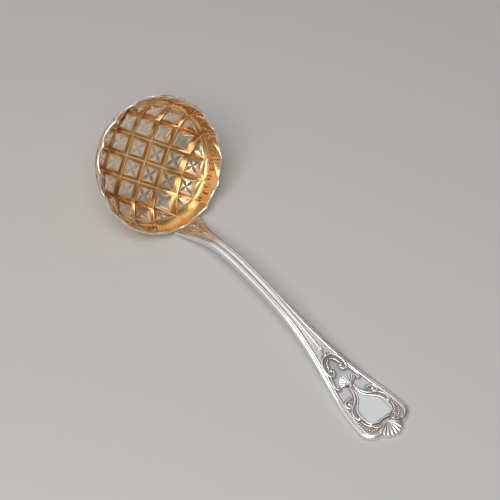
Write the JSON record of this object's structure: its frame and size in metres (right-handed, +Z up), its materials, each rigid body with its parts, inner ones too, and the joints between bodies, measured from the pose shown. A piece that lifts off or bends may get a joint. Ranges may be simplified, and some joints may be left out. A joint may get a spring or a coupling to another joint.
{
  "type": "sugar sifter spoon",
  "caption": "Silver sugar sifter spoon: round pierced quilted gilt bowl with a fluted scalloped wall, on a long arched handle with threaded edges, scallop shells and a vacant cartouche.",
  "frame": {"origin": "bottom centre of the spoon's box as it lies on a table", "axes": "+X from the bowl along the handle to its end, +Y across, +Z up from the table"},
  "size_m": [0.1868, 0.0628, 0.0541],
  "materials": {
    "gilt_bowl": "polished gold wash over silver",
    "silver_handle": "polished silver, tarnish in the recesses",
    "hard_solder": "satin silver solder"
  },
  "bodies": {
    "root": {"bowl": "gilt_bowl", "handle": "silver_handle", "solder_seam": "hard_solder"}
  },
  "joints": []
}
